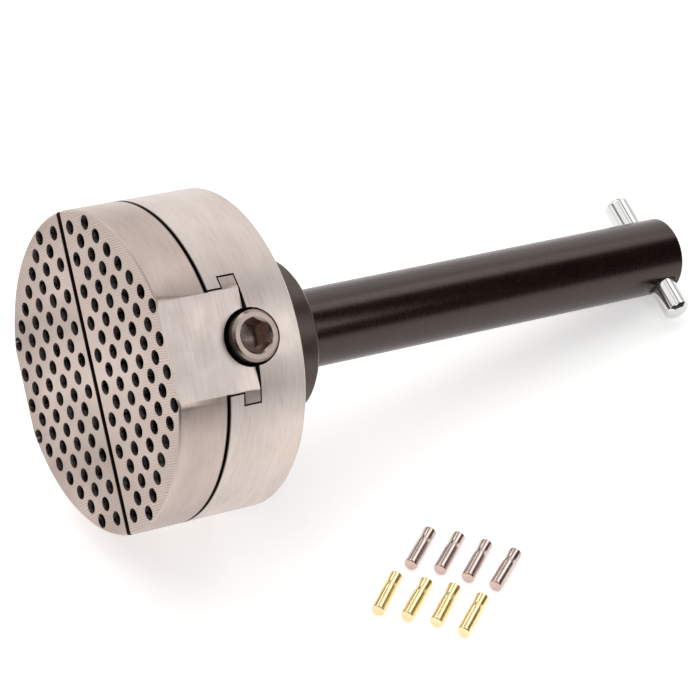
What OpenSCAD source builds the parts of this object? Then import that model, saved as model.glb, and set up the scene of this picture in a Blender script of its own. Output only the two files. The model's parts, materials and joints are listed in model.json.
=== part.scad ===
// Self-centring hand vise with pegged jaws, lying on a bench beside its eight loose pegs.
// Millimetres. +Z is up and the bench is z = 0. +X runs from the jaws along the shank.
// The vise is drawn in its own axes first: x is the way the jaws slide, y runs along the
// split between them, z points out of the jaw face, and z = 0 is the base's rear face.

/* [Head] */
// Outer diameter of the round head
head_d = 50.8; // [42:0.2:66]
// Thickness of the jaws in front of the sliding gap
jaw_t = 8.4; // [7.2:0.1:14]
// Thickness of the round base
base_t = 13.6; // [12.8:0.1:24]
// Gap between the jaws' rear faces and the base
slide_gap = 0.4; // [0.2:0.05:1]
// Gap between the two jaws as they stand
split_gap = 1.0; // [0.4:0.1:4]
// How far the flat on each jaw's end is cut in from the round rim
flat_inset = 1.2; // [0.3:0.1:4]
// Chamfer round the jaws' front rim and the base's rear rim
rim_chamfer = 0.3; // [0.1:0.05:0.8]

/* [Peg holes] */
// Diameter of a peg hole
hole_d = 2.3; // [1.5:0.05:2.4]
// Depth of a peg hole
hole_depth = 6; // [3:0.5:6.5]
// Distance between neighbouring columns of holes
column_pitch = 2.5; // [2.4:0.05:5]
// Distance between neighbouring holes in a column
hole_pitch = 5; // [4.6:0.1:10]
// Distance from the middle of the split to the first column
first_column = 2.8; // [2:0.05:5]
// Least metal between a hole and the round rim
rim_wall = 0.15; // [0.1:0.05:3]

/* [T slot] */
// Width of each jaw's tongue where it passes between the base's lips
stem_w = 15.9; // [12:0.1:22]
// Width of the tongue's wings under the lips
wing_w = 19.5; // [16:0.1:30]
// Thickness of the base's lips
lip_t = 2.5; // [1.5:0.1:4]
// Height of the slot under the lips
wing_slot_t = 3.05; // [2:0.05:3.5]
// Clearance beside the tongue
side_fit = 0.15; // [0.05:0.05:0.4]
// Clearance above and below the tongue
height_fit = 0.1; // [0.05:0.05:0.3]

/* [Lead screw] */
// Diameter over the screw's threads and ends
screw_d = 8; // [6:0.1:8.4]
// Running clearance round the screw, on the radius
screw_fit = 0.08; // [0.03:0.01:0.15]
// Diameter of the counterbores at the two ends of the screw
cbore_d = 8.8; // [8.6:0.1:10]
// Depth of the base's counterbores, from the head's rim
cbore_depth = 6.5; // [4:0.5:8]
// Length of half nut in each jaw
nut_len = 11; // [6:0.5:12]
// How far the driven end stands out of the head's rim
screw_proud = 0.8; // [0:0.1:2]
// How far the plain end stops short of the head's rim
screw_short = 0.8; // [0.2:0.1:3]
// Width across the flats of the hexagon socket
socket_af = 5; // [3:0.5:5.5]
// Depth of the hexagon socket
socket_depth = 4.5; // [3:0.5:5]
// Chamfer on the screw's two ends
screw_chamfer = 0.4; // [0.1:0.1:0.8]
// Diameter of the neck in the middle of the screw
neck_d = 5.5; // [4:0.1:6.2]

/* [Yoke] */
// Thickness of the yoke that sits in the screw's neck
yoke_t = 3.9; // [2.5:0.1:5]
// Width of the yoke's upright
yoke_w = 12; // [9:0.5:13]
// Width of the yoke's foot
yoke_foot_w = 16; // [14:0.5:20]
// Height of the yoke's foot
yoke_foot_h = 3; // [2:0.1:3.4]
// Clearance round the yoke and in the neck
yoke_fit = 0.1; // [0.05:0.05:0.2]

/* [Hub] */
// Diameter of the black hub behind the base
hub_d = 25; // [24:0.5:34]
// Length of the hub
hub_len = 11.2; // [8:0.1:18]
// Chamfer on the hub's rear edge
hub_chamfer = 0.5; // [0.2:0.1:1]
// Diameter of the circle the hub's screws stand on
hub_screw_pcd = 18.8; // [18.6:0.1:19.2]
// Thread diameter of the hub's screws
hub_screw_d = 3; // [2:0.5:3]
// Length of the hub's screws under the head
hub_screw_len = 14; // [10:1:14]

/* [Shank] */
// Diameter of the shank
shank_d = 12.7; // [9:0.1:12.8]
// Distance from the base's rear face to the shank's free end
shank_len = 89.8; // [60:0.2:160]
// Chamfer on the shank's free end
shank_chamfer = 0.4; // [0.1:0.1:1]

/* [Cross pin] */
// Diameter of the cross pin
pin_d = 4.5; // [3:0.1:6]
// Length of the cross pin
pin_len = 23.2; // [18:0.2:30]
// Distance from the shank's free end to the cross pin's axis
pin_inset = 3.1; // [3.1:0.1:20]
// Turn of the cross pin from the jaws' sliding direction, in degrees
pin_turn = -63; // [-90:1:90]
// Chamfer on the cross pin's ends
pin_chamfer = 0.5; // [0.1:0.1:0.8]
// Width of the countersinks where the pin leaves the shank
pin_sink = 0.4; // [0.1:0.1:0.5]

/* [Pegs] */
// Diameter of a peg's body
peg_d = 2.15; // [1.4:0.05:2.3]
// Diameter of a peg's flared head
peg_head_d = 2.25; // [1.5:0.05:2.4]
// Diameter of the waist below the head
peg_waist_d = 1.8; // [1:0.05:2]
// Length of a peg
peg_len = 8.2; // [6:0.1:14]
// Distance from the waist to the end of the head
peg_head_len = 2.1; // [1:0.1:3]
// Length of the taper from the body to the waist
peg_taper_len = 0.7; // [0.2:0.1:2]
// Chamfer on a peg's plain end
peg_chamfer = 0.2; // [0.1:0.05:0.4]

/* [Lie on the bench] */
// Roll of the vise: how far the screw's driven end is turned down from straight up
roll = 48; // [0:1:360]
// Turn of the pegs from the direction of the shank
peg_turn = 35; // [0:1:90]
// Direction of the two rows of pegs
peg_row_dir = -51; // [-90:1:0]
// Distance between neighbouring pegs
peg_pitch = 4.6; // [4:0.1:12]
// First steel peg, along the shank and away from the vise, from the base's rear face
steel_from = [13, 36.7]; // [0:0.1:80]
// First brass peg, along the shank and away from the vise, from the base's rear face
brass_from = [3.3, 42.4]; // [0:0.1:80]

/* [Hidden] */

$fn = 96;
over = 1;                                 // how far a cutting shape runs past a face
head_r = head_d / 2;
flat_reach = head_r - flat_inset;         // from the middle to the flat on a jaw's end
jaw_z = base_t + slide_gap;               // the jaws' rear faces
face_z = jaw_z + jaw_t;                   // the jaw face
floor_z = base_t - lip_t - wing_slot_t;   // the slot's floor, and the screw's axis
lip_z = base_t - lip_t;                   // the underside of the lips
tongue_z = floor_z + height_fit;          // the tongue's lower face
wing_z = lip_z - height_fit;              // the upper face of the tongue's wings

column_count = ceil((flat_reach - first_column) / column_pitch);
row_count = ceil(head_r / hole_pitch);

driven_x = head_r + screw_proud;
plain_x = -(head_r - screw_short);
neck_w = yoke_t + 2 * yoke_fit;
yoke_h = floor_z - yoke_fit;
socket_r = socket_af / 2 / cos(30);

cap_head_share = 1.83;                    // cap screw head over thread, as the M3 standard
cap_key_share = 0.83;                     // its key's width over its thread
hub_head_d = cap_head_share * hub_screw_d;
hub_head_h = hub_screw_d;
hub_screw_af = cap_key_share * hub_screw_d;
hub_head_sink = 0.2;                      // the heads' depth below the hub's rear face
hub_seat_z = -(hub_len - hub_head_h - hub_head_sink);
hub_screw_fit = 0.15;                     // clearance round the screws in the hub
tap_fit = 0.02;                           // hub screw in its tapped hole
tap_spare = 0.5;                          // depth of the tapped hole past the screw's end
seat_fit = 0.01;                          // shank in the hub, cross pin in the shank

pin_z = -(shank_len - pin_inset);

// A round body meshed in 3 degree steps is turned half a step, so that the mesh lies on a
// facet and not on an edge between two.
rest_turn = 1.5;

// The vise leans on the base's rear rim and on the rim of the shank's free end.
tilt = atan((head_r - shank_d / 2) / (shank_len - shank_chamfer + rim_chamfer));
seat_h = head_r * cos(tilt) - rim_chamfer * sin(tilt);

// Small slips of the pegs along themselves, and turns, as loose pegs lie.
steel_slips = [0, 0.5, 0.3, 0];
steel_twists = [0, 0, 0, -2];
brass_slips = [0, 0.3, 0.6, 0];
brass_twists = [2, 0, 1, 0];

// The middle of the whole group in plan, measured from the base's rear face.
reach_back = face_z * cos(tilt) + head_r * sin(tilt);
reach_front = shank_len * cos(tilt) + (shank_d / 2 - shank_chamfer) * sin(tilt);
peg_reach = brass_from[1] - 3 * peg_pitch * sin(peg_row_dir)
            + (peg_d / 2 - peg_chamfer) * cos(peg_turn);
middle_x = (reach_front - reach_back) / 2;
middle_y = (head_r - peg_reach) / 2;

// Puts a shape drawn in the vise's axes where the vise lies on the bench.
module lay() {
    translate([-middle_x, -middle_y, seat_h])
        rotate([0, -(90 - tilt), 0])
            rotate([0, 0, -roll])
                children();
}

// A disc from z = low to z = high with a chamfer at its top, its bottom, or both.
module turned(r, low, high, top = 0, bottom = 0) {
    rotate_extrude()
        polygon([[0, low], [r - bottom, low], [r, low + bottom],
                 [r, high - top], [r - top, high], [0, high]]);
}

// A straight cylinder along x.
module rod_x(r, from, to) {
    translate([from, 0, 0]) rotate([0, 90, 0]) cylinder(r = r, h = to - from);
}

// A block centred on y, from [x, z] to [x, z].
module slab(low, high, width) {
    translate([low[0], -width / 2, low[1]])
        cube([high[0] - low[0], width, high[1] - low[1]]);
}

module hub_screw_places() {
    for (quarter = [45 : 90 : 315])
        rotate([0, 0, quarter]) translate([hub_screw_pcd / 2, 0, 0]) children();
}

// The round body with the T slot across its front, the screw's channel under the slot,
// the yoke's pocket up the middle and four tapped holes for the hub.
module base() {
    color("silver") lay() difference() {
        rotate([0, 0, rest_turn]) turned(head_r, 0, base_t, bottom = rim_chamfer);
        slab([-head_d, floor_z], [head_d, base_t + over], stem_w + 2 * side_fit);
        slab([-head_d, floor_z], [head_d, lip_z], wing_w + 2 * side_fit);
        translate([0, 0, floor_z]) {
            rod_x(screw_d / 2 + screw_fit, -head_d, head_d);
            rod_x(cbore_d / 2, head_r - cbore_depth, head_d);
            rod_x(cbore_d / 2, -head_d, -(head_r - cbore_depth));
        }
        slab([-yoke_t / 2 - yoke_fit, -over], [yoke_t / 2 + yoke_fit, floor_z + over],
             yoke_w + 2 * yoke_fit);
        slab([-yoke_t / 2 - yoke_fit, -over], [yoke_t / 2 + yoke_fit, yoke_foot_h],
             yoke_foot_w + 2 * yoke_fit);
        hub_screw_places()
            translate([0, 0, -over])
                cylinder(d = hub_screw_d + 2 * tap_fit,
                         h = over + hub_seat_z + hub_screw_len + tap_spare, $fn = 32);
    }
}

// Holes stand in columns along the split. Every second column is shifted by half a pitch.
module peg_holes() {
    for (column = [0 : column_count - 1], row = [-row_count : row_count]) {
        x = first_column + column * column_pitch;
        y = (row + (column % 2 == 0 ? 0.5 : 0)) * hole_pitch;
        if (norm([x, y]) + hole_d / 2 + rim_wall < head_r
            && x + hole_d / 2 + rim_wall / 2 < flat_reach)
            translate([x, y, face_z - hole_depth])
                cylinder(d = hole_d, h = hole_depth + over, $fn = 24);
    }
}

// One jaw: half a disc with a flat on its end, and a T tongue with half a nut in it.
module jaw() {
    inner_x = split_gap / 2;
    difference() {
        intersection() {
            turned(head_r, 0, face_z, top = rim_chamfer);
            slab([inner_x, 0], [flat_reach, face_z + over], head_d);
            union() {
                slab([0, jaw_z], [head_r, face_z + over], head_d);
                slab([0, tongue_z], [head_r, jaw_z + over], stem_w);
                slab([0, tongue_z], [head_r, wing_z], wing_w);
            }
        }
        translate([0, 0, floor_z]) {
            rod_x(screw_d / 2 + screw_fit, 0, head_d);
            rod_x(cbore_d / 2, inner_x + nut_len, head_d);
        }
        peg_holes();
    }
}

module jaw_right() {
    color("gainsboro") lay() jaw();
}

module jaw_left() {
    color("gainsboro") lay() mirror([1, 0, 0]) jaw();
}

// The screw has opposite threads either side of its neck. The threads are plain here.
module lead_screw() {
    color("darkgray") lay() translate([0, 0, floor_z]) difference() {
        rotate([0, 90, 0])
            turned(screw_d / 2, plain_x, driven_x, top = screw_chamfer, bottom = screw_chamfer);
        difference() {
            rod_x(screw_d, -neck_w / 2, neck_w / 2);
            rod_x(neck_d / 2, -neck_w, neck_w);
        }
        translate([driven_x - socket_depth, 0, 0]) rotate([0, 90, 0])
            cylinder(r = socket_r, h = socket_depth + over, $fn = 6);
    }
}

// The yoke stands in the base's pocket, and its half-round top sits in the screw's neck.
module screw_yoke() {
    color("goldenrod") lay() difference() {
        union() {
            slab([-yoke_t / 2, 0], [yoke_t / 2, yoke_h], yoke_w);
            slab([-yoke_t / 2, 0], [yoke_t / 2, yoke_foot_h - yoke_fit], yoke_foot_w);
        }
        translate([0, 0, floor_z]) rod_x(neck_d / 2 + screw_fit, -neck_w, neck_w);
    }
}

module hub() {
    color("#2b2422") lay() difference() {
        turned(hub_d / 2, -hub_len, 0, bottom = hub_chamfer);
        translate([0, 0, -hub_len - over])
            cylinder(d = shank_d + 2 * seat_fit, h = hub_len + 2 * over);
        hub_screw_places() {
            translate([0, 0, -hub_len - over])
                cylinder(d = hub_screw_d + 2 * hub_screw_fit, h = hub_len + 2 * over, $fn = 32);
            translate([0, 0, -hub_len - over])
                cylinder(d = hub_head_d + 2 * hub_screw_fit,
                         h = hub_seat_z + hub_len + over, $fn = 48);
        }
    }
}

module hub_screws() {
    color("#1e1b1a") lay() hub_screw_places() difference() {
        union() {
            translate([0, 0, hub_seat_z - hub_head_h])
                cylinder(d = hub_head_d, h = hub_head_h, $fn = 48);
            translate([0, 0, hub_seat_z])
                cylinder(d = hub_screw_d, h = hub_screw_len, $fn = 32);
        }
        translate([0, 0, hub_seat_z - hub_head_h - over])
            cylinder(r = hub_screw_af / 2 / cos(30), h = hub_head_h / 2 + over, $fn = 6);
    }
}

module shank() {
    color("#1d1816") lay() difference() {
        turned(shank_d / 2, -shank_len, 0, bottom = shank_chamfer);
        translate([0, 0, pin_z]) rotate([0, 0, pin_turn]) {
            rod_x(pin_d / 2 + seat_fit, -shank_d, shank_d);
            for (side = [0, 180])
                rotate([0, 0, side]) translate([shank_d / 2 - 2 * pin_sink, 0, 0])
                    rotate([0, 90, 0])
                        cylinder(r1 = pin_d / 2, r2 = pin_d / 2 + 2 * pin_sink, h = 2 * pin_sink);
        }
    }
}

module cross_pin() {
    color("whitesmoke") lay()
        translate([0, 0, pin_z]) rotate([0, 0, pin_turn]) rotate([0, 90, 0])
            turned(pin_d / 2, -pin_len / 2, pin_len / 2, top = pin_chamfer,
                   bottom = pin_chamfer);
}

// A peg stands on its plain end here: body, taper to the waist, and flared head.
module peg() {
    waist_z = peg_len - peg_head_len;
    rotate_extrude($fn = 48)
        polygon([[0, 0], [peg_d / 2 - peg_chamfer, 0], [peg_d / 2, peg_chamfer],
                 [peg_d / 2, waist_z - peg_taper_len], [peg_waist_d / 2, waist_z],
                 [peg_head_d / 2, peg_len], [0, peg_len]]);
}

// Peg number i of a row lies on the bench on its body, its head away from the rim.
module lying_peg(from, i, slips, twists) {
    place = [from[0], -from[1]] + i * peg_pitch * [cos(peg_row_dir), sin(peg_row_dir)];
    translate([place[0] - middle_x, place[1] - middle_y, peg_head_d / 2])
        rotate([0, 0, peg_turn + twists[i]])
            translate([slips[i], 0, 0])
                rotate([0, 90, 0]) peg();
}

module steel_peg(i) {
    color("gray") lying_peg(steel_from, i, steel_slips, steel_twists);
}

module brass_peg(i) {
    color("gold") lying_peg(brass_from, i, brass_slips, brass_twists);
}

base();
jaw_right();
jaw_left();
lead_screw();
screw_yoke();
hub();
hub_screws();
shank();
cross_pin();
steel_peg(0);  // steel_peg_1
steel_peg(1);  // steel_peg_2
steel_peg(2);  // steel_peg_3
steel_peg(3);  // steel_peg_4
brass_peg(0);  // brass_peg_1
brass_peg(1);  // brass_peg_2
brass_peg(2);  // brass_peg_3
brass_peg(3);  // brass_peg_4
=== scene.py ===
# %% [markdown]
# # A self-centring hand vise and its eight pegs
#
# This lesson dresses a jeweller's hand vise that was designed as a working assembly. The
# design gives exact sizes and joints, so nothing here is measured again or moved: the lesson
# softens the machined edges, cuts the real threads, turns the pegs, and gives every piece a
# finish that looks like the metal it is made of.

# %% Load the fixed frame
import json
import math

import bmesh
import bpy
from mathutils import Matrix, Vector


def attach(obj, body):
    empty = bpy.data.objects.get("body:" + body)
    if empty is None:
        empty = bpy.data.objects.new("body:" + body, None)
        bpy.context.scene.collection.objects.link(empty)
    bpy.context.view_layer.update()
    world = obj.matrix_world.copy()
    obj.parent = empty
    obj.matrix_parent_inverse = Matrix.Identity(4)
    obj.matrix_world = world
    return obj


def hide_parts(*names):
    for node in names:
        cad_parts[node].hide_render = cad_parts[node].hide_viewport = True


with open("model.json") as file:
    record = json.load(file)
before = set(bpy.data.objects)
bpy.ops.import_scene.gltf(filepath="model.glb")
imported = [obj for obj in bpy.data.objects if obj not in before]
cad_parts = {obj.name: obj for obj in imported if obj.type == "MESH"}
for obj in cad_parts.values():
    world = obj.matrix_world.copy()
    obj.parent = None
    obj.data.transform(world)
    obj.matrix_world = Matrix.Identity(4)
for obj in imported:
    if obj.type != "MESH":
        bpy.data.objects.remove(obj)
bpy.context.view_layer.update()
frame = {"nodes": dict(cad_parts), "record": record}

MM = 0.001
print("nodes:", sorted(frame["nodes"]))

# %% [markdown]
# ## The vise's own axes
#
# The vise lies tipped on the bench, so its faces point in odd directions. Every machined
# piece gets its own object axes instead: x is the way the jaws slide, y runs along the split
# between them and z points out of the jaw face. An object's matrix then does the tipping, and
# each mesh and each material can be worked out as if the vise stood on a lathe.
# The directions come from the design's own mounts: the key socket points along x, and the
# jaw face points along z.

# %% Find the vise's axes from its mounts
mounts = {mount["name"]: mount for mount in frame["record"]["mounts"]}
slide_way = Vector(mounts["hex_socket"]["axis"]).normalized()
face_way = Vector(mounts["jaw_face"]["axis"]).normalized()
split_way = face_way.cross(slide_way).normalized()
turn = Matrix((slide_way, split_way, face_way)).transposed()

grip_point = Vector(mounts["shank"]["pos_m"])
base_heights = [(v.co - grip_point).dot(face_way) for v in frame["nodes"]["base"].data.vertices]
vise_origin = grip_point + face_way * min(base_heights)
VISE = Matrix.Translation(vise_origin) @ turn.to_4x4()
print("vise origin on the bench, mm:", [round(c / MM, 2) for c in vise_origin])


def reach(node, axis):
    """Lowest and highest place of a design node along one of the vise's axes, in metres."""
    inward = VISE.inverted()
    places = [(inward @ v.co)[axis] for v in frame["nodes"][node].data.vertices]
    return min(places), max(places)


head_r = reach("base", 1)[1]
face_z = reach("jaw_right", 2)[1]
print("head radius and face height, mm:", round(head_r / MM, 2), round(face_z / MM, 2))

# %% [markdown]
# ## Machined edges
#
# No real cutter leaves a perfect edge: each one is broken with a stone or a file, and that
# sliver of a facet is what catches the light. A design solid has none, so a copy of it goes
# into the vise's axes, its flat triangles are dissolved back into whole faces, and a narrow
# Bevel modifier breaks the edges. A Weighted Normal modifier then keeps the broad faces flat
# and lets only the bevels turn. This is quicker and truer than modelling each piece again.

# %% Copy a design node and break its edges
SHARP_ANGLE = 28
SAME_PLANE_ANGLE = 0.6
WELD_DISTANCE = 0.002 * MM
GAP_MOUTH_ANGLE = 60
GAP_MOUTH_CHAMFER = 0.11 * MM


def settle(piece, node, body):
    """Puts a finished piece on its body, in place of its design node."""
    if piece.name not in bpy.context.scene.collection.objects:
        bpy.context.scene.collection.objects.link(piece)
    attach(piece, body)
    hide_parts(node)
    return piece


def mark_seams(mesh, angle=SHARP_ANGLE):
    """Shades a mesh smooth, with a crisp edge wherever two faces meet at more than an angle."""
    work = bmesh.new()
    work.from_mesh(mesh)
    for face in work.faces:
        face.smooth = True
    for edge in work.edges:
        if len(edge.link_faces) == 2:
            edge.smooth = edge.calc_face_angle() < math.radians(angle)
    work.to_mesh(mesh)
    work.free()


def machined(name, node, body, edge_break, which_finish, finishes, hidden=None):
    """A copy of a design node in the vise's axes, with tidy faces and broken edges.

    Where a face in view meets one inside a gap, whose finish has the number hidden, the edge
    gets a chamfer in the last finish, painted nearly black: old oil and painted shade of the gap.
    """
    mesh = frame["nodes"][node].data.copy()
    mesh.name = name
    mesh.transform(VISE.inverted())
    work = bmesh.new()
    work.from_mesh(mesh)
    bmesh.ops.remove_doubles(work, verts=work.verts, dist=WELD_DISTANCE)
    bmesh.ops.dissolve_limit(work, angle_limit=math.radians(SAME_PLANE_ANGLE),
                             verts=work.verts, edges=work.edges)
    mesh.materials.clear()
    for finish in finishes:
        mesh.materials.append(finish)
    for face in work.faces:
        face.material_index = which_finish(face)
        face.smooth = True
    if hidden is not None:
        mouths = [edge for edge in work.edges if len(edge.link_faces) == 2
                  and edge.calc_face_angle() > math.radians(GAP_MOUTH_ANGLE)
                  and (edge.link_faces[0].material_index == hidden)
                  != (edge.link_faces[1].material_index == hidden)]
        # The chamfer takes the last finish: old oil, painted nearly black as the gap's shade.
        bmesh.ops.bevel(work, geom=mouths, offset=GAP_MOUTH_CHAMFER, offset_type="OFFSET",
                        segments=1, profile=0.5, affect="EDGES", clamp_overlap=True,
                        material=len(finishes) - 1)
    work.to_mesh(mesh)
    work.free()
    piece = bpy.data.objects.new(name, mesh)
    piece.matrix_world = VISE
    bevel = piece.modifiers.new("broken edges", "BEVEL")
    bevel.width = edge_break
    bevel.segments = 2
    bevel.limit_method = "ANGLE"
    bevel.angle_limit = math.radians(SHARP_ANGLE)
    bevel.use_clamp_overlap = True
    even = piece.modifiers.new("flat faces", "WEIGHTED_NORMAL")
    even.keep_sharp = True
    settle(piece, node, body)
    print(name, "has", len(mesh.polygons), "faces before its edges are broken")


print("edges sharper than", SHARP_ANGLE, "degrees get broken")

# %% [markdown]
# ## Small tools for the finishes
#
# Metal is all about its marks: a lathe leaves rings, a fly cutter leaves shallow arcs, and a
# grinder leaves straight lines. Each mark is a noise texture squeezed hard in one direction,
# so these helpers only build coordinates to squeeze and mix what comes out. Everything is
# worked from object coordinates, so the marks ride with the piece and survive baking.

# %% Helpers that write shader nodes
class Finish:
    """A material with its shader, and short ways to add nodes to it."""

    def __init__(self, name, colour, metallic, roughness):
        self.material = bpy.data.materials.new(name)
        self.material.use_nodes = True
        self.nodes = self.material.node_tree.nodes
        self.links = self.material.node_tree.links
        self.shader = self.nodes["Principled BSDF"]
        self.shader.inputs["Base Color"].default_value = (*colour, 1)
        self.shader.inputs["Metallic"].default_value = metallic
        self.shader.inputs["Roughness"].default_value = roughness
        self.material.diffuse_color = (*colour, 1)
        coordinates = self.nodes.new("ShaderNodeTexCoord")
        self.place = coordinates.outputs["Object"]

    def math(self, operation, a, b=None):
        node = self.nodes.new("ShaderNodeMath")
        node.operation = operation
        for socket, value in zip(node.inputs, (a, b)):
            self.feed(socket, value)
        return node.outputs[0]

    def feed(self, socket, value):
        if isinstance(value, bpy.types.NodeSocket):
            self.links.new(value, socket)
        elif value is not None:
            socket.default_value = value

    def split(self, vector=None):
        node = self.nodes.new("ShaderNodeSeparateXYZ")
        self.links.new(vector or self.place, node.inputs[0])
        return node.outputs

    def join(self, x, y, z):
        node = self.nodes.new("ShaderNodeCombineXYZ")
        for socket, value in zip(node.inputs, (x, y, z)):
            self.feed(socket, value)
        return node.outputs[0]

    def noise(self, vector, scale=1.0, detail=2.0, roughness=0.5):
        node = self.nodes.new("ShaderNodeTexNoise")
        self.links.new(vector, node.inputs["Vector"])
        node.inputs["Scale"].default_value = scale
        node.inputs["Detail"].default_value = detail
        node.inputs["Roughness"].default_value = roughness
        return node.outputs["Fac"]

    def stretch(self, value, low, high, to_low, to_high):
        node = self.nodes.new("ShaderNodeMapRange")
        self.links.new(value, node.inputs["Value"])
        for name, amount in (("From Min", low), ("From Max", high), ("To Min", to_low),
                             ("To Max", to_high)):
            node.inputs[name].default_value = amount
        return node.outputs["Result"]

    def blend(self, share, first, second):
        node = self.nodes.new("ShaderNodeMix")
        node.data_type = "RGBA"
        self.links.new(share, node.inputs["Factor"])
        for socket, value in ((node.inputs["A"], first), (node.inputs["B"], second)):
            if isinstance(value, bpy.types.NodeSocket):
                self.links.new(value, socket)
            else:
                socket.default_value = (*value, 1)
        return node.outputs["Result"]

    def colour(self, value):
        self.links.new(value, self.shader.inputs["Base Color"])

    def roughness(self, value):
        self.links.new(value, self.shader.inputs["Roughness"])

    def bump(self, height, depth, strength=1.0):
        node = self.nodes.new("ShaderNodeBump")
        node.inputs["Distance"].default_value = depth
        node.inputs["Strength"].default_value = strength
        self.links.new(height, node.inputs["Height"])
        previous = self.shader.inputs["Normal"]
        if previous.is_linked:
            self.links.new(previous.links[0].from_socket, node.inputs["Normal"])
        self.links.new(node.outputs[0], previous)

    def rings(self, along="z", per_metre=9000, wander=3.0):
        """Noise drawn out into rings round an axis, as a lathe leaves them."""
        x, y, z = self.split()
        across = {"x": (y, z, x), "z": (x, y, z)}[along]
        far = self.math("SQRT", self.math("ADD", self.math("MULTIPLY", across[0], across[0]),
                                          self.math("MULTIPLY", across[1], across[1])))
        far = self.math("MAXIMUM", far, 1e-5)
        return self.join(self.math("MULTIPLY", self.math("DIVIDE", across[0], far), wander),
                         self.math("MULTIPLY", self.math("DIVIDE", across[1], far), wander),
                         self.math("MULTIPLY", across[2], per_metre)), far

# %% [markdown]
# ## Bare steel
#
# The head is bare steel, a little warm in tone. Its round side was turned and then polished
# with a strip of cloth, so fine rings run round it. The jaw faces were fly cut: the cutter
# swings in a wide circle, and leaves arcs that cross the face. The flats, the slot and the
# tongues were ground in straight lines. One function makes every steel: it is told which way
# the marks run, how rough and how bright the surface is, and how dull its worn patches are.
# The base is lighter than the jaws, and the left jaw is darker than the right: painted shade.

# %% Bare steel with its marks running one way
STEEL = (0.60, 0.505, 0.46)
STEEL_DULL = (0.50, 0.415, 0.375)
MARK_SHADE = (0.20, 0.145, 0.12)
# The seam band's colour and widths: old oil, with painted shade beside the gap.
SEAM_OIL_AND_SHADE = (0.05, 0.035, 0.03)
SEAM_SHADE_SOLID = 0.28 * MM
SEAM_SHADE_GONE = 0.50 * MM
gap_z = reach("base", 2)[1] + 0.2 * MM


def steel(name, vectors, roughness, depth, shade, colour=STEEL, dull=STEEL_DULL, patchy=0.5,
          shaded_seam=False):
    """Steel with fine marks that shade it, broad ones that tone it, and a few smudges.

    The fine marks come as coordinates to draw noise from, or as a finished pattern. The seam
    band is a dark line along the gap between the base and the jaws: old oil and painted shade.
    """
    finish = Finish(name, colour, 1.0, roughness)
    fine, broad, strength = vectors(finish)
    marks = fine if fine.type == "VALUE" else finish.noise(fine, detail=2.0, roughness=0.6)
    tone = finish.noise(broad, detail=2.0)
    smudges = finish.noise(finish.place, scale=230, detail=4.0)
    mixed = finish.math("ADD", finish.math("MULTIPLY", tone, 1 - patchy * 0.5),
                        finish.math("MULTIPLY", smudges, patchy * 0.5))
    toned = finish.blend(finish.stretch(mixed, 0.35, 0.65, 0.0, 1.0), dull, colour)
    lines = finish.math("MULTIPLY", finish.stretch(marks, 0.46, 0.66, 0.0, shade), strength)
    shaded = finish.blend(lines, toned, MARK_SHADE)
    # A dark band along the seam between the base and the jaws: old oil, with painted shade of the
    # gap.
    if shaded_seam:
        x, y, z = finish.split()
        off = finish.math("ABSOLUTE", finish.math("SUBTRACT", z, gap_z))
        seam_darkening = finish.stretch(off, SEAM_SHADE_SOLID, SEAM_SHADE_GONE, 0.9, 0.0)
        shaded = finish.blend(seam_darkening, shaded, SEAM_OIL_AND_SHADE)
    finish.colour(shaded)
    finish.roughness(finish.stretch(smudges, 0.3, 0.7, roughness - 0.06, roughness + 0.06))
    finish.bump(marks, depth)
    return finish.material


def turned_marks(finish):
    fine, far = finish.rings(per_metre=3200, wander=7.0)
    broad, far = finish.rings(per_metre=150, wander=1.6)
    return fine, broad, 1.0


FLY_CUT_REACH = 0.16
FLY_CUT_STEP = 0.00037


def fly_cut_marks(finish):
    """Even arcs about a point far off the face, a fixed feed apart.

    They are deepest near the rim, and toward +y they darken the face more: painted shade.
    """
    x, y, z = finish.split()
    off_x = finish.math("SUBTRACT", x, FLY_CUT_REACH * 0.1)
    off_y = finish.math("ADD", y, FLY_CUT_REACH)
    far = finish.math("SQRT", finish.math("ADD", finish.math("MULTIPLY", off_x, off_x),
                                          finish.math("MULTIPLY", off_y, off_y)))
    swing = finish.math("MULTIPLY", finish.math("ARCTAN2", off_y, off_x), 20)
    broad = finish.join(finish.math("MULTIPLY", far, 90), finish.math("MULTIPLY", swing, 0.4), 0.0)
    wander = finish.noise(finish.join(finish.math("MULTIPLY", far, 700), swing, 0.0), detail=3.0)
    turns = finish.math("ADD", finish.math("MULTIPLY", far, 2 * math.pi / FLY_CUT_STEP),
                        finish.math("MULTIPLY", wander, 9.0))
    arcs = finish.stretch(finish.math("SINE", turns), -1.0, 1.0, 0.35, 0.68)
    out = finish.math("SQRT", finish.math("ADD", finish.math("MULTIPLY", x, x),
                                          finish.math("MULTIPLY", y, y)))
    rim = finish.stretch(out, head_r * 0.45, head_r * 0.97, 0.25, 1.0)
    # Painted shade: the marks darken the face more and more toward +y.
    painted_shade_along_y = finish.stretch(y, 0.0, head_r * 0.9, 0.0, 1.1)
    return arcs, broad, finish.math("MAXIMUM", rim, painted_shade_along_y)


def ground_marks(finish):
    x, y, z = finish.split()
    fine = finish.join(finish.math("MULTIPLY", x, 300), finish.math("MULTIPLY", y, 130),
                       finish.math("MULTIPLY", z, 3000))
    broad = finish.join(finish.math("MULTIPLY", x, 60), finish.math("MULTIPLY", y, 60),
                        finish.math("MULTIPLY", z, 90))
    return fine, broad, 1.0


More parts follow.
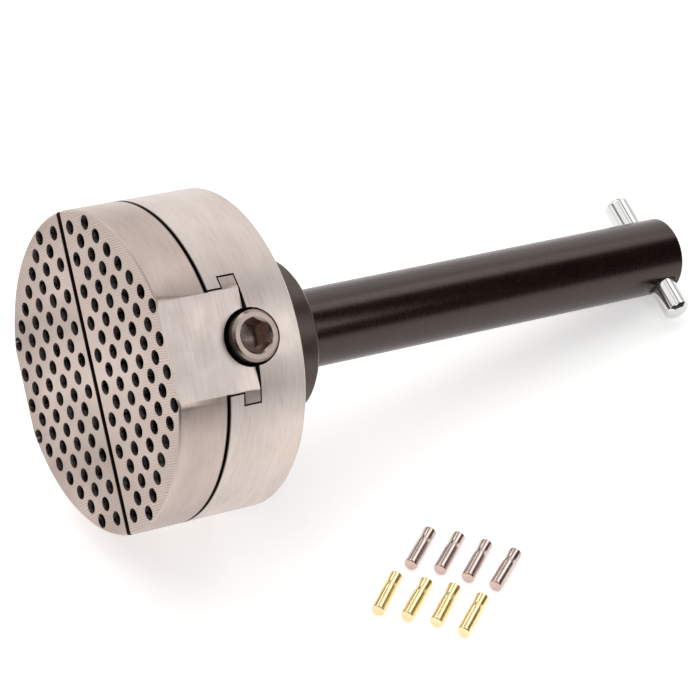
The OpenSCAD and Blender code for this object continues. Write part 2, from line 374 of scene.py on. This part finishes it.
fly_cut = steel("fly-cut steel", fly_cut_marks, 0.36, 0.005 * MM, 0.5,
                (0.60, 0.50, 0.455), (0.46, 0.38, 0.34))
# The left jaw's copy has darker patches: painted shade for the darker light on that side.
fly_cut_painted_shade = steel("fly-cut steel with painted shade", fly_cut_marks, 0.38, 0.005 * MM, 0.5,
                     (0.61, 0.505, 0.46), (0.40, 0.33, 0.295))
turned = steel("turned steel", turned_marks, 0.38, 0.003 * MM, 0.13, shaded_seam=True)
ground = steel("ground steel", ground_marks, 0.45, 0.003 * MM, 0.13,
               (0.70, 0.63, 0.60), (0.58, 0.51, 0.48), patchy=0.9)
turned_base = steel("turned base steel", turned_marks, 0.5, 0.003 * MM, 0.11,
                    (0.77, 0.69, 0.65), (0.65, 0.575, 0.535), shaded_seam=True)
# Inside the slot and the gaps: old oil, with the steel darkened as painted shade.
oily_shaded_steel = steel("oily steel with painted shade", ground_marks, 0.42, 0.006 * MM, 0.3, (0.20, 0.155, 0.135),
             (0.12, 0.088, 0.075))
# Chamfers at the gap mouths: old oil, painted nearly black as painted shade of the gap.
gap_edge_oil_and_shade = steel("gap edge oil and shade", ground_marks, 0.5, 0.006 * MM, 0.3, (0.05, 0.032, 0.027),
              (0.025, 0.015, 0.012))


def hole_steel():
    """A painted highlight at the mouth of each hole, and painted shade, nearly black, further in.
    """
    finish = Finish("drilled steel", STEEL, 1.0, 0.3)
    x, y, z = finish.split()
    scuffs = finish.noise(finish.place, scale=900, detail=2.0)
    height = finish.math("ADD", z, finish.math("MULTIPLY", scuffs, 0.5 * MM))
    # Painted highlight near the mouth, fading into painted shade deeper in the hole.
    mouth_highlight = finish.stretch(height, face_z - 0.85 * MM, face_z - 0.25 * MM, 0.0, 1.0)
    finish.colour(finish.blend(mouth_highlight, (0.02, 0.010, 0.008), (0.96, 0.90, 0.86)))
    finish.roughness(finish.stretch(scuffs, 0.3, 0.7, 0.22, 0.4))
    return finish.material


drilled = hole_steel()
print("steel finishes:", fly_cut.name, turned.name, ground.name, drilled.name, oily_shaded_steel.name)

# %% [markdown]
# ## Which face was cut by which tool
#
# A face's place and normal say which machine made it. The front is fly cut, what looks away
# from the middle at the full radius was turned, and the flat at a jaw's end and the rear
# were ground. Long narrow strips below the front are hole walls. Everything else is inside,
# the slot and the gaps, where the steel has a film of old oil and is painted darker as
# painted shade. The edges of the gaps are painted nearly black, oil and painted shade, and
# those dark edges are what draws the jaws' outline.

# %% Sort the head's faces by the tool that made them
flat_x = reach("jaw_right", 0)[1]


def head_finish(face):
    middle = face.calc_center_median()
    normal = face.normal
    radius = math.hypot(middle.x, middle.y)
    if abs(normal.z) > 0.9:
        if middle.z > face_z - 0.2 * MM:
            return 0
        return 2 if middle.z < 0.5 * MM else 3
    outward = (normal.x * middle.x + normal.y * middle.y) / max(radius, 1e-6)
    if outward > 0.5 and radius > head_r - 0.6 * MM:
        return 1
    if abs(normal.x) > 0.999 and abs(middle.x) > flat_x - 0.2 * MM:
        return 2
    top = max(corner.co.z for corner in face.verts)
    is_wall = abs(normal.z) < 0.02 and top > face_z - 0.3 * MM
    # Index 3 is oily steel with painted shade, and 4 the hole walls.
    return 4 if is_wall and face.calc_area() < 12 * MM * MM else 3


head_steels = [fly_cut, turned, ground, oily_shaded_steel, drilled, gap_edge_oil_and_shade]
base_steels = [fly_cut, turned_base, ground, oily_shaded_steel, drilled, gap_edge_oil_and_shade]
left_steels = [fly_cut_painted_shade, turned, ground, oily_shaded_steel, drilled, gap_edge_oil_and_shade]
machined("base_body", "base", "vise", 0.12 * MM, head_finish, base_steels,
         hidden=3)
machined("right_jaw", "jaw_right", "jaw_right", 0.09 * MM, head_finish,
         head_steels, hidden=3)
machined("left_jaw", "jaw_left", "jaw_left", 0.09 * MM, head_finish,
         left_steels, hidden=3)

# %% [markdown]
# ## The lead screw
#
# One screw works both jaws: its right half has a left-hand thread and its left half a
# right-hand one, so a single turn of the key moves the jaws apart or together. A thread is a
# skin whose radius rises and falls along a helix. Sweeping a tooth profile with a modifier
# would leave loose ends at the neck and the shoulders, so the skin is worked out point by
# point instead, ring after ring, and fades to a plain cylinder at both ends.

# %% Work out the threaded skin
screw_left, screw_right = reach("lead_screw", 0)
screw_low, screw_high = reach("lead_screw", 1)
screw_r = (screw_high - screw_low) / 2
screw_z = sum(reach("lead_screw", 2)) / 2
THREAD_PITCH = 1.25 * MM
THREAD_DEPTH = 0.62 * MM
NECK_R = 2.75 * MM
NECK_HALF = 2.05 * MM
PLAIN_END = 5.6 * MM
ROUND_STEPS = 64
END_CHAMFER = 0.4 * MM


def tooth(turns):
    """Depth of the thread's groove, 0 at a crest and 1 at a root, over one turn."""
    ramp = abs(2 * (turns % 1) - 1)
    return min(max(1.5 * ramp - 0.25, 0), 1)


def screw_rings():
    """(place along x, smallest radius, groove depth share) for each ring, left to right."""
    rings = [(screw_left, screw_r - END_CHAMFER, 0), (screw_left + END_CHAMFER, screw_r, 0)]
    starts = ((screw_left + PLAIN_END, -NECK_HALF), (NECK_HALF, screw_right - PLAIN_END))
    for half, (low, high) in enumerate(starts):
        steps = round((high - low) / THREAD_PITCH * 10)
        for step in range(steps + 1):
            x = low + (high - low) * step / steps
            fade = min((x - low if half == 0 else high - x) / THREAD_PITCH, 1)
            rings.append((x, screw_r, max(fade, 0)))
        if half == 0:
            rings += [(-NECK_HALF, NECK_R, 0), (NECK_HALF, NECK_R, 0)]
    rings += [(screw_right - END_CHAMFER, screw_r, 0), (screw_right, screw_r - END_CHAMFER, 0)]
    return rings


def screw_mesh():
    work = bmesh.new()
    rows = []
    for x, radius, share in screw_rings():
        hand = -1 if x > 0 else 1
        row = []
        for step in range(ROUND_STEPS):
            angle = 2 * math.pi * step / ROUND_STEPS
            turns = x / THREAD_PITCH - hand * angle / (2 * math.pi)
            r = radius - THREAD_DEPTH * share * tooth(turns)
            row.append(work.verts.new((x, r * math.cos(angle), screw_z + r * math.sin(angle))))
        rows.append(row)
    for low, high in zip(rows, rows[1:]):
        for i in range(ROUND_STEPS):
            j = (i + 1) % ROUND_STEPS
            work.faces.new((low[i], low[j], high[j], high[i]))
    work.faces.new(list(reversed(rows[0])))
    work.faces.new(rows[-1])
    bmesh.ops.recalc_face_normals(work, faces=work.faces)
    mesh = bpy.data.meshes.new("lead_screw_threads")
    work.to_mesh(mesh)
    work.free()
    return mesh


def cutter(name, mesh):
    """An object to cut with, which never shows."""
    tool = bpy.data.objects.new(name, mesh)
    bpy.context.scene.collection.objects.link(tool)
    return tool


def cut_away(piece, tools):
    """Cuts tools out of a piece, makes the result its mesh, and clears the tools away."""
    for tool in tools:
        cut = piece.modifiers.new("cut", "BOOLEAN")
        cut.operation = "DIFFERENCE"
        cut.solver = "EXACT"
        cut.object = tool
    bpy.context.view_layer.update()
    graph = bpy.context.evaluated_depsgraph_get()
    made = bpy.data.meshes.new_from_object(piece.evaluated_get(graph))
    piece.modifiers.clear()
    piece.data = made
    for tool in tools:
        bpy.data.objects.remove(tool)


def tapered_prism(sides, radii, places, spin=0.0):
    """A closed prism along x whose section changes from one place to the next."""
    work = bmesh.new()
    rows = []
    for radius, x in zip(radii, places):
        rows.append([work.verts.new((x, radius * math.cos(spin + 2 * math.pi * k / sides),
                                     screw_z + radius * math.sin(spin + 2 * math.pi * k / sides)))
                     for k in range(sides)])
    for low, high in zip(rows, rows[1:]):
        for i in range(sides):
            j = (i + 1) % sides
            work.faces.new((low[i], low[j], high[j], high[i]))
    work.faces.new(list(reversed(rows[0])))
    work.faces.new(rows[-1])
    bmesh.ops.recalc_face_normals(work, faces=work.faces)
    mesh = bpy.data.meshes.new("tool")
    work.to_mesh(mesh)
    work.free()
    return mesh


SOCKET_R = 2.5 * MM / math.cos(math.radians(30))
SOCKET_DEPTH = 4.5 * MM
screw = bpy.data.objects.new("threaded_screw", screw_mesh())
bpy.context.scene.collection.objects.link(screw)
deep = screw_right - SOCKET_DEPTH
out = screw_right + 1 * MM
hexagon = cutter("hexagon", tapered_prism(6, (SOCKET_R, SOCKET_R), (deep, out)))
point = cutter("drill point", tapered_prism(24, (0.02 * MM, 2.3 * MM, 2.3 * MM),
                                            (deep - 1.2 * MM, deep, deep + 0.3 * MM)))
mouth = cutter("mouth", tapered_prism(48, (2.45 * MM, 3.25 * MM),
                                      (screw_right - 0.4 * MM, screw_right + 0.4 * MM)))
cut_away(screw, [hexagon, point, mouth])
mark_seams(screw.data)
print("lead screw faces:", len(screw.data.polygons))

# %% [markdown]
# The screw's ends were faced in a lathe and the key keeps them polished, so they are smooth
# and mirror the dark side of the room. Down in the threads and the socket little light comes
# in, so the steel there is painted lighter, painted light in place of the light that is
# missing, and the oil shows as its darker patches.

# %% The screw's two finishes
def screw_marks(finish):
    fine, far = finish.rings("x", per_metre=5000, wander=4.0)
    broad, far = finish.rings("x", per_metre=500, wander=1.5)
    return fine, broad, 1.0


bright_screw = steel("bright screw", screw_marks, 0.28, 0.004 * MM, 0.3, (0.36, 0.30, 0.275),
                     (0.22, 0.18, 0.16))
# Painted light: a lighter copy of the screw's steel for the socket and the threads.
screw_painted_light = steel("screw with painted light", screw_marks, 0.26, 0.008 * MM, 0.3, (0.80, 0.68, 0.62),
                   (0.45, 0.36, 0.32))
screw.data.materials.append(bright_screw)
screw.data.materials.append(screw_painted_light)
for face in screw.data.polygons:
    x, y, z = face.center
    deep_in = math.hypot(y, z - screw_z) < 2.85 * MM and x < screw_right - 0.5 * MM
    in_threads = screw_left + 4 * MM < x < screw_right - 4 * MM
    face.material_index = 1 if deep_in or in_threads else 0
screw.matrix_world = VISE
settle(screw, "lead_screw", "lead_screw")
inner_faces = [face for face in screw.data.polygons if face.material_index == 1]
print("screw faces in the threads and the socket:", len(inner_faces))

# %% [markdown]
# ## The black parts
#
# The hub, its four screws and the shank were blackened in hot salts. That leaves a thin dark
# oxide that isn't a metal to look at: it's nearly black face on, and bright where the light
# skims it, which is plain dielectric reflection. The brown cast and the fine lengthwise haze
# come from handling, so both the colour and the roughness wander a little.

# %% Black oxide
def black_oxide(name, roughness, colour, worn):
    finish = Finish(name, colour, 0.0, roughness)
    finish.shader.inputs["IOR"].default_value = 1.6
    finish.shader.inputs["Specular Tint"].default_value = (1.0, 0.80, 0.72, 1)
    fine, far = finish.rings(per_metre=6000, wander=6.0)
    marks = finish.noise(fine, detail=3.0, roughness=0.65)
    haze = finish.noise(finish.place, scale=190, detail=5.0, roughness=0.6)
    finish.colour(finish.blend(finish.stretch(haze, 0.35, 0.75, 0.0, 1.0), colour, worn))
    finish.roughness(finish.stretch(marks, 0.25, 0.75, roughness - 0.05, roughness + 0.09))
    finish.bump(marks, 0.012 * MM)
    grain = finish.noise(finish.place, scale=5200, detail=2.0)
    finish.bump(grain, 0.004 * MM)
    return finish.material


shank_black = black_oxide("black oxide shank", 0.22, (0.006, 0.002, 0.0015),
                          (0.014, 0.006, 0.0045))
hub_black = black_oxide("black oxide hub", 0.30, (0.034, 0.022, 0.020), (0.060, 0.042, 0.037))
print("black finishes:", shank_black.name, hub_black.name)


def only_finish(face):
    return 0


machined("hub_ring", "hub", "vise", 0.16 * MM, only_finish, [hub_black])
machined("cap_screws", "hub_screws", "vise", 0.08 * MM, only_finish,
         [hub_black])
machined("shank_bar", "shank", "vise", 0.12 * MM, only_finish, [shank_black])

# %% [markdown]
# ## The cross pin and the yoke
#
# The pin is ground and plated, the brightest thing on the tool: it mirrors its surroundings
# in sharp streaks, so its roughness is low and its marks are faint. The yoke shows only
# when the jaws are wide open. It is milled brass, so that the steel screw runs well in it.

# %% Plated pin and brass yoke
plated = Finish("plated pin", (0.70, 0.70, 0.69), 1.0, 0.1)
cloud = plated.noise(plated.place, scale=420, detail=3.0)
plated.roughness(plated.stretch(cloud, 0.3, 0.7, 0.07, 0.16))
plated.bump(plated.noise(plated.place, scale=1500, detail=2.0), 0.0012 * MM)

brass_milled = Finish("milled brass", (0.72, 0.52, 0.24), 1.0, 0.34)
milling, broad_milling, even_strength = ground_marks(brass_milled)
brass_milled.roughness(brass_milled.stretch(brass_milled.noise(milling), 0.3, 0.7, 0.28, 0.42))
brass_milled.bump(brass_milled.noise(milling), 0.01 * MM)

machined("yoke_block", "screw_yoke", "vise", 0.15 * MM, only_finish,
         [brass_milled.material])

# %% [markdown]
# ## The pegs
#
# Each peg was parted off a rod in a small lathe: a straight body, a taper down to a waist,
# and a head that flares to its end. The pegs lie in two rows, four of steel and four of
# brass. A turned part is a profile swept round its axis, so the profile is drawn once, with
# its small rounded edges, and every peg is swept from it. A spare ring just inside each end
# of the straight body keeps the rounding's shading off the body. A peg's place comes from its
# design node: the node's long axis is found from its points, and the peg is laid along it.

# %% Turn the pegs
def peg_profile(body_r, flare_r, waist_r, length, head_length, taper):
    """(distance along the peg, radius) from the plain end to the end of the head."""
    soft = 0.22 * MM
    line = [(0.0, 0.0), (0.0, body_r - soft)]
    for step in range(1, 5):
        turn = math.radians(90 * step / 4)
        line.append((soft * (1 - math.cos(turn)), body_r - soft + soft * math.sin(turn)))
    waist = length - head_length
    line += [(soft + 0.05 * MM, body_r), (waist - taper - 0.05 * MM, body_r),
             (waist - taper, body_r)]
    for step in range(1, 9):
        share = step / 8
        eased = share * share * (3 - 2 * share)
        line.append((waist - taper * (1 - share), body_r - (body_r - waist_r) * eased))
    line += [(waist + 0.25 * MM, waist_r + 0.01 * MM)]
    rim = 0.16 * MM
    line += [(length - rim, flare_r - 0.01 * MM)]
    for step in range(1, 5):
        turn = math.radians(90 * step / 4)
        line.append((length - rim + rim * math.sin(turn), flare_r - rim + rim * math.cos(turn)))
    line.append((length, 0.0))
    return line


def turn_up(name, profile, steps=64):
    """Sweeps a profile round the z axis into a closed mesh."""
    work = bmesh.new()
    rows = []
    for along, radius in profile:
        if radius == 0:
            rows.append([work.verts.new((0, 0, along))])
        else:
            rows.append([work.verts.new((radius * math.cos(2 * math.pi * k / steps),
                                         radius * math.sin(2 * math.pi * k / steps), along))
                         for k in range(steps)])
    for low, high in zip(rows, rows[1:]):
        for i in range(steps):
            j = (i + 1) % steps
            corners = [low[i % len(low)], low[j % len(low)], high[j % len(high)],
                       high[i % len(high)]]
            unique = list(dict.fromkeys(corners))
            if len(unique) > 2:
                work.faces.new(unique)
    bmesh.ops.recalc_face_normals(work, faces=work.faces)
    mesh = bpy.data.meshes.new(name)
    work.to_mesh(mesh)
    work.free()
    mark_seams(mesh, 40)
    return mesh


def end_middle(points, way):
    """The middle of a round piece's far end in a direction: halfway across its end circle."""
    limit = max(p.dot(way) for p in points)
    ring = [p for p in points if p.dot(way) > limit - 0.05 * MM]
    side = way.orthogonal().normalized()
    other = way.cross(side)
    middle = way * limit
    for axis in (side, other):
        places = [p.dot(axis) for p in ring]
        middle += axis * (min(places) + max(places)) / 2
    return middle


def long_axis(node):
    """The middle of one end of a turned piece, its direction and its length.

    The points of a round piece are spread most along its axis. Adding the points up again
    and again, each weighted by how far it lies along a guess, turns the guess to that axis.
    """
    points = [v.co.copy() for v in frame["nodes"][node].data.vertices]
    middle = sum(points, Vector()) / len(points)
    spread = [p - middle for p in points]
    way = max(spread, key=lambda p: p.length).normalized()
    for pull in range(40):
        way = sum((p * p.dot(way) for p in spread), Vector()).normalized()
    for refine in range(4):
        start, end = end_middle(points, -way), end_middle(points, way)
        way = (end - start).normalized()
    if way.x < 0:
        start, end, way = end, start, -way
    return start, way, (end - start).length


def turned_pin(node, radius, soft):
    """The cross pin's profile: a rod with chamfered ends, long enough for its design node."""
    start, way, length = long_axis(node)
    line = [(0.0, 0.0), (0.0, radius - soft), (0.12 * soft, radius - 0.9 * soft),
            (0.9 * soft, radius - 0.12 * soft), (soft + 0.1 * MM, radius),
            (soft + 0.2 * MM, radius)]
    other = [(length - along, r) for along, r in reversed(line)]
    return start, way, turn_up("turned_" + node, line + other)


PIN_R = 2.25 * MM
PIN_CHAMFER = 0.5 * MM
start, way, pin_mesh = turned_pin("cross_pin", PIN_R, PIN_CHAMFER)
pin_mesh.materials.append(plated.material)
pin = bpy.data.objects.new("turned_cross_pin", pin_mesh)
pin.matrix_world = Matrix.Translation(start) @ way.to_track_quat("Z", "Y").to_matrix().to_4x4()
settle(pin, "cross_pin", "vise")
print("cross pin starts at, mm:", [round(c / MM, 2) for c in start])

PEG_NODES = ["steel_peg_1", "steel_peg_2", "steel_peg_3", "steel_peg_4",
             "brass_peg_1", "brass_peg_2", "brass_peg_3", "brass_peg_4"]
PEG_BODY_R = 1.075 * MM
PEG_HEAD_R = 1.125 * MM
PEG_WAIST_R = 1.01 * MM
PEG_HEAD_LENGTH = 2.1 * MM
PEG_TAPER = 1.0 * MM
PEG_SPIN = 1.3
for node in PEG_NODES:
    start, way, length = long_axis(node)
    print(node, "starts at", [round(c / MM, 2) for c in start], "length", round(length / MM, 2))

# %% [markdown]
# Steel pegs are drawn wire, a soft grey with a trace of rust colour at their ends; the brass
# ones shine more and have darkened a little where fingers don't rub. Both have fine rings
# from the lathe. Each finish is made once, and every peg is spun about its axis by a
# different angle, so that no two pegs show the same side of it.

# %% Peg finishes
def peg_finish(name, colour, dull, roughness, end_colour):
    finish = Finish(name, colour, 1.0, roughness)
    fine, far = finish.rings(per_metre=4000, wander=0.6)
    marks = finish.noise(fine, detail=2.0)
    cloud = finish.noise(finish.place, scale=300, detail=2.0)
    tone = finish.blend(finish.stretch(cloud, 0.35, 0.7, 0.0, 1.0), colour, dull)
    x, y, z = finish.split()
    near_end = finish.stretch(finish.math("ABSOLUTE", finish.math("SUBTRACT", z, 4.1 * MM)),
                              3.3 * MM, 4.1 * MM, 0.0, 0.8)
    finish.colour(finish.blend(near_end, tone, end_colour))
    finish.roughness(finish.stretch(marks, 0.3, 0.7, roughness - 0.03, roughness + 0.04))
    finish.bump(marks, 0.0006 * MM)
    return finish.material


peg_steel = peg_finish("peg steel", (0.64, 0.53, 0.49), (0.50, 0.41, 0.375), 0.2,
                       (0.62, 0.47, 0.42))
peg_brass = peg_finish("peg brass", (0.98, 0.80, 0.46), (0.90, 0.67, 0.33), 0.24,
                       (0.95, 0.76, 0.46))
for number, node in enumerate(PEG_NODES):
    start, way, length = long_axis(node)
    profile = peg_profile(PEG_BODY_R, PEG_HEAD_R, PEG_WAIST_R, length, PEG_HEAD_LENGTH, PEG_TAPER)
    mesh = turn_up("turned_" + node, profile)
    metal = peg_steel if number < 4 else peg_brass
    mesh.materials.append(metal)
    peg = bpy.data.objects.new("turned_" + node, mesh)
    spin = Matrix.Rotation(PEG_SPIN * number, 4, "Z")
    lie = way.to_track_quat("Z", "Y").to_matrix().to_4x4()
    peg.matrix_world = Matrix.Translation(start) @ lie @ spin
    settle(peg, node, node)
print("pegs made:", len(PEG_NODES))

# %% [markdown]
# ## The bench and the light
#
# Bright metal has hardly any colour of its own. What it shows is the room, so the light has
# to be built like a light tent: a white sweep underneath, soft panels above and to
# the sides, and dark gaps between them that give round parts their bands. The floor is a
# shallow dish instead of a plane, so that it curves up behind the tool and has no horizon.
# It glows a little, as a light table does, and that keeps the shadows faint. Well in front of
# the picture it ends in a dark card, which the round black shank needs to mirror.

# %% A white sweep under everything
def sweep_floor(radius=1.6, flat=0.5, rise=0.35, rings=24, steps=72):
    work = bmesh.new()
    rows = [[work.verts.new((0, 0, 0))]]
    for ring in range(1, rings + 1):
        r = radius * ring / rings
        z = 0.0 if r < flat else rise * (r - flat) ** 2
        rows.append([work.verts.new((r * math.cos(2 * math.pi * k / steps),
                                     r * math.sin(2 * math.pi * k / steps), z))
                     for k in range(steps)])
    for low, high in zip(rows, rows[1:]):
        for i in range(steps):
            j = (i + 1) % steps
            corners = [low[i % len(low)], high[i], high[j], low[j % len(low)]]
            work.faces.new(list(dict.fromkeys(corners)))
    mesh = bpy.data.meshes.new("sweep")
    for face in work.faces:
        face.smooth = True
    work.to_mesh(mesh)
    work.free()
    return mesh


PAPER = (0.93, 0.93, 0.93)
DARK_CARD = (0.05, 0.045, 0.04)
CARD_STARTS = -0.16
CARD_FULL = -0.30
PAPER_GLOW = 0.5
white = Finish("white paper", PAPER, 0.0, 0.9)
white.shader.inputs["Emission Color"].default_value = (1.0, 1.0, 1.0, 1)
across, forward, height = white.split()
card = white.stretch(forward, CARD_STARTS, CARD_FULL, 0.0, 1.0)
white.colour(white.blend(card, PAPER, DARK_CARD))
glow = white.stretch(forward, CARD_STARTS, CARD_FULL, PAPER_GLOW, 0.0)
white.links.new(glow, white.shader.inputs["Emission Strength"])
paper = white.noise(white.place, scale=40, detail=2.0)
white.roughness(white.stretch(paper, 0.3, 0.7, 0.85, 0.95))
floor = bpy.data.objects.new("sweep", sweep_floor())
floor.data.materials.append(white.material)
floor.location.z = -0.02 * MM
bpy.context.scene.collection.objects.link(floor)
print("sweep faces:", len(floor.data.polygons))

# %% [markdown]
# The room round the sweep is bright behind the tool, right overhead and at a small window
# high on the right, and dark in front, where the viewer stands. Bright metal hardly cares,
# because its marks blur what it mirrors, but the black shank does: the dark room gives it the
# deep band along its middle. A few narrow dark strips between the bright parts give the
# round side its soft bands. A gradient in the world costs nothing to render, so the whole
# room is one.

# %% The room as a gradient
room = bpy.data.worlds.new("room")
room.use_nodes = True
bpy.context.scene.world = room
nodes = room.node_tree.nodes
links = room.node_tree.links
looking = nodes.new("ShaderNodeTexCoord")
parts = nodes.new("ShaderNodeSeparateXYZ")
links.new(looking.outputs["Generated"], parts.inputs[0])


def ease(value, low, high, to_low=0.0, to_high=1.0):
    """A soft step of a value in the room's shader."""
    node = nodes.new("ShaderNodeMapRange")
    node.interpolation_type = "SMOOTHSTEP"
    links.new(value, node.inputs["Value"])
    for name, amount in (("From Min", low), ("From Max", high), ("To Min", to_low),
                         ("To Max", to_high)):
        node.inputs[name].default_value = amount
    return node.outputs["Result"]


def times(first, second):
    node = nodes.new("ShaderNodeMath")
    node.operation = "MULTIPLY"
    links.new(first, node.inputs[0])
    links.new(second, node.inputs[1])
    return node.outputs[0]


RIGHT_SHARE = 0.4
rightness = nodes.new("ShaderNodeMath")
rightness.operation = "MULTIPLY"
links.new(parts.outputs["X"], rightness.inputs[0])
rightness.inputs[1].default_value = RIGHT_SHARE
depth = nodes.new("ShaderNodeMath")
depth.operation = "SUBTRACT"
links.new(parts.outputs["Y"], depth.inputs[0])
links.new(rightness.outputs[0], depth.inputs[1])
in_front = ease(depth.outputs[0], 0.30, -0.12)
above_floor = ease(parts.outputs["Z"], -0.05, 0.10)
below_ceiling = ease(parts.outputs["Z"], 0.97, 0.88)
WINDOW_WAY = (0.63, 0.40, 0.66)
toward_window = nodes.new("ShaderNodeVectorMath")
toward_window.operation = "DOT_PRODUCT"
links.new(looking.outputs["Generated"], toward_window.inputs[0])
toward_window.inputs[1].default_value = WINDOW_WAY
beside_window = ease(toward_window.outputs["Value"], 0.94, 0.82, 0.2, 1.0)
darkness = times(times(times(in_front, above_floor), below_ceiling), beside_window)


def strip(middle, half, top):
    """A dark gap between two panels: a band of the room at one place from left to right."""
    node = nodes.new("ShaderNodeMath")
    node.operation = "SUBTRACT"
    links.new(parts.outputs["X"], node.inputs[0])
    node.inputs[1].default_value = middle
    away = nodes.new("ShaderNodeMath")
    away.operation = "ABSOLUTE"
    links.new(node.outputs[0], away.inputs[0])
    return times(ease(away.outputs[0], half, half * 0.6, 0.0, top),
                 ease(parts.outputs["Z"], 0.12, 0.25))


gaps = (strip(0.42, 0.10, 0.85), strip(-0.02, 0.05, 0.6), strip(-0.70, 0.10, 0.8))
for gap in gaps:
    wider = nodes.new("ShaderNodeMath")
    wider.operation = "MAXIMUM"
    links.new(darkness, wider.inputs[0])
    links.new(gap, wider.inputs[1])
    darkness = wider.outputs[0]
BRIGHT_ROOM = (1.2, 1.185, 1.17, 1)
DARK_ROOM = (0.035, 0.03, 0.03, 1)
shade = nodes.new("ShaderNodeMix")
shade.data_type = "RGBA"
shade.inputs["A"].default_value = BRIGHT_ROOM
shade.inputs["B"].default_value = DARK_ROOM
links.new(darkness, shade.inputs["Factor"])
links.new(shade.outputs["Result"], nodes["Background"].inputs["Color"])
nodes["Background"].inputs["Strength"].default_value = 1.0
print("dark strips in the room:", len(gaps))

# %% [markdown]
# Three soft panels do the lighting itself. The first keeps the round side of the head even,
# the second lights the far side and the bench, and the third is a small card close to the
# flat, which would otherwise mirror the dark front of the room. That one is hidden from the
# camera.

# %% Soft panels
NEUTRAL = (1.0, 0.99, 0.98)
HEAD = Vector((-0.02, 0, 0.02))
FLAT = Vector((-0.045, -0.004, 0.044))


def panel(name, place, size, brightness, tint=(1, 1, 1)):
    """A soft light at a place in metres, facing the head, of a brightness beside white = 1."""
    light = bpy.data.lights.new(name, "AREA")
    light.shape = "RECTANGLE"
    light.size, light.size_y = size
    light.energy = brightness * math.pi * size[0] * size[1]
    light.color = tint
    lamp = bpy.data.objects.new(name, light)
    lamp.location = place
    aim = HEAD - Vector(place)
    lamp.rotation_euler = aim.to_track_quat("-Z", "Y").to_euler()
    bpy.context.scene.collection.objects.link(lamp)
    return lamp


panel("high right", (0.60, 0.10, 0.67), (0.32, 0.32), 1.05)
panel("high behind", (0.05, 0.62, 0.80), (0.50, 0.50), 1.4, NEUTRAL)
near = panel("near the flat", (0.026, -0.072, 0.094), (0.07, 0.07), 2.0, NEUTRAL)
near.rotation_euler = (FLAT - near.location).to_track_quat("-Z", "Y").to_euler()
near.visible_camera = False

# %% [markdown]
# ## The camera
#
# It stands to the left, in front of the jaws and well above them, with a long lens, so the
# round face is hardly stretched. It's placed by a point to aim at, a distance and two
# angles, which say more to a reader than three coordinates, and it's rolled by less than
# one degree, as a camera held by hand is.

# %% Place the camera
AIM = Vector((-18.16, -4.41, 32.36)) * MM
DISTANCE = 485 * MM
AROUND = math.radians(-32.63)
UP = math.radians(41.1)
ROLL = math.radians(0.83)
FOCAL_LENGTH = 162.7
lens = bpy.data.cameras.new("camera")
lens.sensor_width = 36
lens.lens = FOCAL_LENGTH
lens.clip_start = 0.01
camera = bpy.data.objects.new("camera", lens)
back = Vector((math.sin(AROUND) * math.cos(UP), -math.cos(AROUND) * math.cos(UP), math.sin(UP)))
right = Vector((math.cos(AROUND), math.sin(AROUND), 0))
over = back.cross(right)
right_rolled = right * math.cos(ROLL) + over * math.sin(ROLL)
over_rolled = back.cross(right_rolled)
camera.matrix_world = Matrix.Translation(AIM + back * DISTANCE) @ Matrix(
    (right_rolled, over_rolled, back)).transposed().to_4x4()
bpy.context.scene.collection.objects.link(camera)
bpy.context.scene.camera = camera
bpy.context.scene.view_settings.view_transform = "Standard"
print("camera at, mm:", [round(c / MM, 1) for c in camera.location])

# %% [markdown]
# ## The size stays the same
#
# The looks never change how big the tool is.

# %% Finish
bpy.context.view_layer.update()
